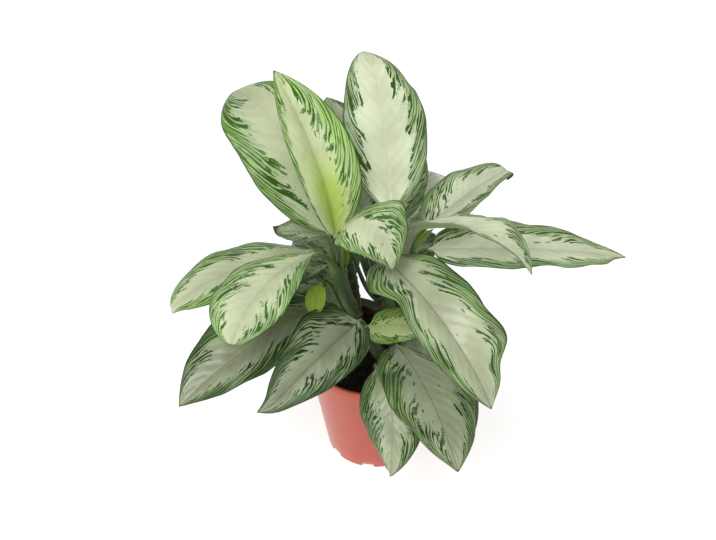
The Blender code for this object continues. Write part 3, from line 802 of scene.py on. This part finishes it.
def stalkRings(s, leaf, shape, share, midrib, v, side):
    # A cubic curve from the cane's middle to the blade's start. Its rings are round, wider where
    # the stalk clasps the cane, with a channel along the top. Gives the rings and the share of it.
    start = caneAxis(caneSettings, caneSettings["stems"][leaf["cane"]], np.array(leaf["node"] * mm))
    point, along, left = (part[0] for part in midrib[:3])
    span = point - start
    reach = np.linalg.norm(span)
    level = unitVectors(np.array([span[0], span[1], 0]) + 1e-9)
    leave = unitVectors(unitVectors(span) + s["stalkSpread"] * level)
    a, b, c, d = start, start + leave * reach * 0.4, point - along * reach * 0.3, point
    k = np.linspace(0, 1, s["stalkRows"] + 1)[:-1, None]
    path = (1 - k) ** 3 * a + 3 * (1 - k) ** 2 * k * b + 3 * (1 - k) * k**2 * c + k**3 * d
    ahead = unitVectors((1 - k) ** 2 * (b - a) + 2 * (1 - k) * k * (c - b) + k**2 * (d - c))
    sideWay = unitVectors(left - ahead * (ahead @ left)[:, None])
    above = np.cross(ahead, sideWay)
    radius = (s["rootRadius"] + (s["stalkRadius"] - s["rootRadius"]) * k) * share
    sheath = 1 + s["sheathSwell"] * (1 - smoothStep(0.2, 0.75, k))  # the lower half clasps the cane
    wing = np.where(v > 0, *shape["wing"]) * mm * np.sin(math.pi * k**1.5)
    channel = 1 - s["channelDepth"] * np.exp(-((v / s["channelWidth"]) ** 2)) * (side > 0)
    rings = path[:, None] + sideWay[:, None] * ((radius * sheath + wing) * v)[..., None]
    rings = rings + above[:, None] * (radius * side * np.sqrt(1 - v**2) * channel)[..., None]
    return rings, k


def skinMarks(s, leaf, number, k, t, v, side, x):
    # What the finish reads at each point. place: share along (below 0 on the stalk), across,
    # under. veins: the side vein's start, across, a number of the leaf's own. look: tone, fresh,
    # where the green begins. rib: mm from the midrib, on the stalk, the midrib's tone.
    look = {**plainMarks, **leafMarks.get(leaf["name"], {})}
    stalk = np.broadcast_to((k - 1) * s["stalkSpan"], (len(k), v.shape[1]))
    along = np.concatenate([stalk, np.broadcast_to(t, x.shape)])
    same = np.zeros_like(along)
    across = v + same
    under = (1 - side) / 2 + same
    fromRib = np.concatenate([np.zeros_like(stalk), x]) / mm
    inner = [np.interp(along, (0, 0.5, 1), look[half]) for half in ("left", "right")]
    begins = np.where(across > 0, *inner)
    plain = np.where(across > 0, *look["plain"])
    dried = smoothStep(1 - look["tipBrown"], 1 - look["tipBrown"] * 0.4, along)
    spotAlong, spotAcross, spotSize = look["brown"]
    if spotSize:
        off = ((along - spotAlong) / spotSize) ** 2 + ((across - spotAcross) / (spotSize * 3)) ** 2
        dried = np.maximum(dried, 0.9 * np.exp(-off))
    marks = {
        "place": (along, across, under),
        "veins": (veinPlace(along, across), across, number * s["seedStep"] + same),
        "look": (leaf["tone"] + same, leaf["fresh"] + same, begins),
        "rib": (fromRib, (along < 0).astype(float), look["rib"] + same),
        "tint": (look["flush"] + same, plain, dried),
    }
    return {label: np.stack(parts, -1) for label, parts in marks.items()}


def buildLeaf(s, leaf, number, finish):
    # One closed skin: the stalk's rings from the cane up, then the blade's to the tip.
    shape = {**plainShape, **leafShapes.get(leaf["name"], {})}
    t, v, side = bladeGrid(s)
    midrib = leafMidrib(leaf, t[:, 0], shape["hook"], shape["hookFrom"])
    share = max(s["thinnestStalk"], min(1.0, math.sqrt(leaf["length"] / s["fullStalkFrom"])))
    blade, x = bladeRings(s, leaf, shape, number, midrib, s["stalkRadius"] * share, t, v, side)
    stalk, k = stalkRings(s, leaf, shape, share, midrib, v, side)
    marks = skinMarks(s, leaf, number, k, t, v, side, x)
    points = np.concatenate([stalk, blade])
    node = "leaf_" + leaf["name"]
    ringSkin(node + "_blade", points, finish, node, marks)


# Colours of the leaf skin. Unless noted, pairs run from a mature to a young leaf.
leafColours = {
    # the silver runs from a leaf in painted shade to a bright one
    "silver": ("#747b5e", "#e1e9c8"),  # from a shaded to a bright leaf
    "youngSilver": "#d9e7a8",
    "warmGrey": "#a3a38b",  # towards the midrib
    "mint": "#c9dbb6",  # towards the green
    "midGreen": ("#507235", "#5f9a1c"),
    "paleGreen": ("#9db67c", "#a8ce60"),
    "deepGreen": ("#344a23", "#416526"),  # at a dash's inner end, and out at the margin
    "youngDeep": "#376c10",
    # deeper greens that paint the shade on leaves of low tone
    "shadedMid": "#2e4524",
    "shadedDeep": "#1a2b18",
    "flush": "#b9d35c",
    "plain": "#8fae2f",
    "paleRib": "#d3d9a8",
    "darkRib": "#5d6b48",
    "underside": "#6a8650",
    "dried": "#6b5f45",
    # painted shade along a stalk's sides, darkest at the edges
    "wing": "#2c451d",  # the edges of a stalk
    "stalk": [(0.0, "#3f4823"), (0.45, "#455a29"), (1.0, "#718f42")],
}

# Noises whose patches run along the side veins: patches to a leaf's length and to its half width,
# place in the noise, detail
veinNoises = {
    "wander": (8.0, 2.0, 0.0, 2.0),
    "bundle": (5.0, 1.0, 21.0, 1.0),
    "spots": (18.0, 7.0, 31.0, 1.0),
    "broken": (20.0, 4.0, 51.0, 2.0),
    "faint": (11.0, 2.0, 41.0, 1.0),
}


def silverLeafSkin(s, colours, noises):
    # Living leaf skin with a thin wax layer: a soft satin gloss, silver where air lies under the
    # skin, green where the chlorophyll shows, in dashes along the side veins and stripes at the
    # margin. One finish serves every leaf, and the marks tell them apart.
    made, add, shader = newFinish("waxySilverLeaf")
    marks = {}
    for name in ("place", "veins", "look", "rib", "tint"):
        vector = add("Attribute", attribute_name=name).outputs["Vector"]
        marks[name] = add("SeparateXYZ", (vector,)).outputs
    along, across, under = marks["place"]
    vein, _, seed = marks["veins"]
    tone, fresh, reach = marks["look"]
    ribDistance, isStalk, ribTone = marks["rib"]
    flush, plain, brown = marks["tint"]
    hue = {}
    for name, value in colours.items():
        if isinstance(value, str):
            hue[name] = linearColour(value)
        elif isinstance(value, tuple):
            hue[name] = tuple(map(linearColour, value))
    spot = add("TexCoord").outputs["Object"]
    noise = {}
    for name, (perLength, perHalf, shift, detail) in noises.items():
        acrossVeins = add("Math", (vein, perLength), **times)
        alongVeins = add("Math", (across, perHalf), **times)
        where = add("CombineXYZ", (acrossVeins, alongVeins, add("Math", (seed, shift), **plus)))
        noise[name] = add("TexNoise", {"Vector": where, "Scale": 1.0, "Detail": detail})

    out = add("Math", (across,), operation="ABSOLUTE")  # 0 at the midrib, 1 at the margin
    notches = {"Vector": spot, "Scale": 1 / s["ragged"], "Detail": 2.0, "Roughness": 0.7}
    ragged = add("TexNoise", notches)
    rough = add("Math", (add("Math", (ragged, 0.5), **less), 0.55), **times)
    # stripes follow the side veins and wander by up to most of a stripe
    wander = add("MapRange", (noise["wander"], 0.25, 0.75, -0.75, 0.75), **eased)
    count = add("Math", (add("Math", (vein, s["stripes"]), **times), wander), **plus)
    turns = add("Math", (count, 2 * math.pi), **times)
    wave = add("Math", (turns,), operation="COSINE")  # 1 in a stripe's middle
    # each stripe has a number, and from it a start and a strength of its own
    number = add("Math", (add("Math", (count, 0.5), **plus),), operation="FLOOR")
    ticket = add("CombineXYZ", (number, add("Math", (across,), operation="SIGN"), seed))
    chance = add("TexWhiteNoise", (ticket,), noise_dimensions="3D").outputs["Color"]
    start, strength, _ = add("SeparateColor", (chance,)).outputs
    # depth into the green: 0 at its inner limit, 1 at the margin
    room = add("Math", (1.0, reach), **less)
    depth = add("Math", (add("Math", (out, reach), **less), room), operation="DIVIDE")
    bundle = add("MapRange", (noise["bundle"], 0.3, 0.7, -0.3, 0.3), **eased)
    slow = add("Math", (depth, bundle), **plus)
    late = add("Math", (add("Math", (start, 0.5), **less), 0.6), **times)
    deep = add("Math", (slow, add("Math", (late, rough), **plus)), **plus)
    # a stripe's dark core: wide at its blunt inner end, thinner towards the margin
    thinner = add("MapRange", (deep, 0.0, 1.0, -0.42, 0.4), **eased)
    faint = add("Math", (add("Math", (strength, 0.5), **less), 0.8), **times)
    core = add("Math", (thinner, faint), **plus)
    core = add("Math", (core, add("Math", (rough, 1.3), **times)), **plus)
    inStripe = add("MapRange", (add("Math", (wave, core), **less), -0.12, 0.12), **eased)
    # the stripe is broken into dashes near its inner end
    gaps = add("MapRange", (noise["broken"], 0.35, 0.43), **eased)
    healed = add("MapRange", (deep, 0.25, 0.8, 0.0, 0.75), **eased)
    dashes = add("Math", (inStripe, add("Math", (gaps, healed), operation="MAXIMUM")), **times)
    dark = add("Math", (dashes, add("MapRange", (deep, 0.0, 0.05), **eased)), **times)
    # a few loose spots further in
    rare = add("MapRange", (slow, -0.9, 0.0, 0.8, 0.68), **eased)
    spots = add("MapRange", (add("Math", (noise["spots"], rare), **less), -0.01, 0.02), **eased)
    dark = add("Math", (dark, add("Math", (spots, 0.85), **times)), operation="MAXIMUM")
    # the ground between the stripes: silver, then green, mintier on bright leaves
    ground = add("MapRange", (slow, 0.1, 1.0, 0.0, 0.92), **eased)
    minty = add("MapRange", (tone, 0.1, 0.7, 1.0, 0.68), **eased)
    ground = add("Math", (ground, minty), **times)
    # and a pale line between two stripes
    between = add("MapRange", (wave, -0.25, -0.9), **eased)
    pale = add("Math", (between, add("MapRange", (slow, -0.05, 0.3), **eased)), **times)
    fading = add("MapRange", (noise["faint"], 0.38, 0.55, 0.2, 0.9), **eased)
    pale = add("Math", (pale, fading), **times)

    # silver by tone, from painted shade at 0 to bright at 1
    body = add("Mix", (tone, *hue["silver"]), **coloured)
    young = add("Math", (fresh, 0.5), **times)
    warm = add("MapRange", (out, 0.0, 0.6, 0.28, 0.0), **eased)
    cool = add("MapRange", (slow, -0.9, 0.1, 0.0, 0.3), **eased)
    for share, name in ((young, "youngSilver"), (warm, "warmGrey"), (cool, "mint")):
        body = add("Mix", (share, body, hue[name]), **coloured)
    deepGreen = add("MapRange", (deep, 0.1, 0.9), **eased)
    deepGreen = add("Mix", (deepGreen, *hue["deepGreen"]), **coloured)
    deepGreen = add("Mix", (fresh, deepGreen, hue["youngDeep"]), **coloured)
    for share, name in ((ground, "midGreen"), (pale, "paleGreen")):
        green = add("Mix", (fresh, *hue[name]), **coloured)
        body = add("Mix", (share, body, green), **coloured)
    # painted shade: leaves of low tone get deeper greens
    shaded = add("MapRange", (tone, 0.0, 0.55, 0.85, 0.0), **eased)
    body = add("Mix", (add("Math", (shaded, ground), **times), body, hue["shadedMid"]), **coloured)
    deepGreen = add("Mix", (shaded, deepGreen, hue["shadedDeep"]), **coloured)
    # painted shade for the quilting: the raised parts between side veins are painted lighter, as if
    # they caught the light, and soft patches vary it
    quilts = add("Math", (vein, 2 * math.pi * s["veinPairs"]), **times)
    phase = add("Math", (quilts,), operation="COSINE")
    soft = add("TexNoise", {"Vector": spot, "Scale": 1 / s["cloud"], "Detail": 3.0})
    shade = add("MapRange", (phase, -1.0, 1.0, 1.01, 0.972), **eased)
    clouds = add("MapRange", (soft, 0.3, 0.7, 0.9, 1.07), **eased)
    shade = add("Math", (shade, clouds), **times)
    toned = add("VectorMath", {"Vector": body, "Scale": shade}, operation="SCALE")
    # young leaves keep a yellow-green flush along the lower midrib
    near = add("MapRange", (out, 0.25, 0.95, 1.0, 0.0), **eased)
    near = add("Math", (near, add("MapRange", (along, 0.25, 0.62, 1.0, 0.0), **eased)), **times)
    flushed = add("Math", (add("Math", (near, flush), **times), 0.9), **times)
    for share, name in ((flushed, "flush"), (plain, "plain")):
        toned = add("Mix", (share, toned, hue[name]), **coloured)
    dark = add("Math", (dark, add("MapRange", (plain, 0.2, 1.0, 1.0, 0.35), **eased)), **times)
    marked = add("Mix", (dark, toned, deepGreen), **coloured)
    darkEdge = add("MapRange", (out, 0.955, 0.985, 0.0, 0.7), **eased)
    marked = add("Mix", (darkEdge, marked, deepGreen), **coloured)
    # midrib: a line 1 to 2 mm wide, pale or dark
    fromRib = add("Math", (ribDistance,), operation="ABSOLUTE")
    paleLine = add("MapRange", (fromRib, 0.5, 2.2, 0.75, 0.0), **eased)
    paleLine = add("Math", (paleLine, add("MapRange", (ribTone, 0.0, 1.0), **eased)), **times)
    darkLine = add("MapRange", (fromRib, 0.3, 1.0, 0.65, 0.0), **eased)
    darkLine = add("Math", (darkLine, add("MapRange", (ribTone, 0.0, -1.0), **eased)), **times)
    for share, name in ((paleLine, "paleRib"), (darkLine, "darkRib")):
        marked = add("Mix", (share, marked, hue[name]), **coloured)
    # underside: duller green, with the markings showing through faintly
    isUnder = add("MapRange", (under, 0.45, 0.6), **eased)
    dull = add("Mix", (0.7, marked, hue["underside"]), **coloured)
    bothSides = add("Mix", (isUnder, marked, dull), **coloured)
    bothSides = add("Mix", (brown, bothSides, hue["dried"]), **coloured)  # dried tips and blemishes
    # stalk: green, duller where it clasps the cane, with painted shade along its sides
    stalk = add("ValToRGB", (add("MapRange", (along, -s["stalkSpan"], 0.0), **eased),))
    stalk = fillRamp(stalk, colours["stalk"])
    edge = add("MapRange", (out, 0.35, 0.85, 0.0, 0.8), **eased)
    stalk = add("Mix", (edge, stalk, hue["wing"]), **coloured)
    # the blade swells softly between its veins, and its skin has fine cells
    swell = add("Math", (soft, add("Math", (phase, -0.03), **times)), **plus)
    billow = add("Bump", {"Height": swell, "Strength": 0.6, "Distance": 4 * mm})
    cells = add("TexNoise", {"Vector": spot, "Scale": 1 / s["cell"], "Detail": 2.0})
    bump = add("Bump", {"Height": cells, "Strength": 0.12, "Distance": 0.3 * mm, "Normal": billow})
    skin = add("Mix", (isStalk, bothSides, stalk), **coloured)
    setFinish(shader, Base_Color=skin, Normal=bump, IOR=1.42)
    setFinish(shader, Roughness=add("MapRange", (isUnder, 0.0, 1.0, 0.25, 0.6), **eased))
    return made


leafFinish = silverLeafSkin(leafSettings, leafColours, veinNoises)
for number, row in enumerate(leafTable):
    leaf = dict(zip(leafFields, row))
    buildLeaf(leafSettings, leaf, number, leafFinish)
print("leaves built:", len(leafTable))
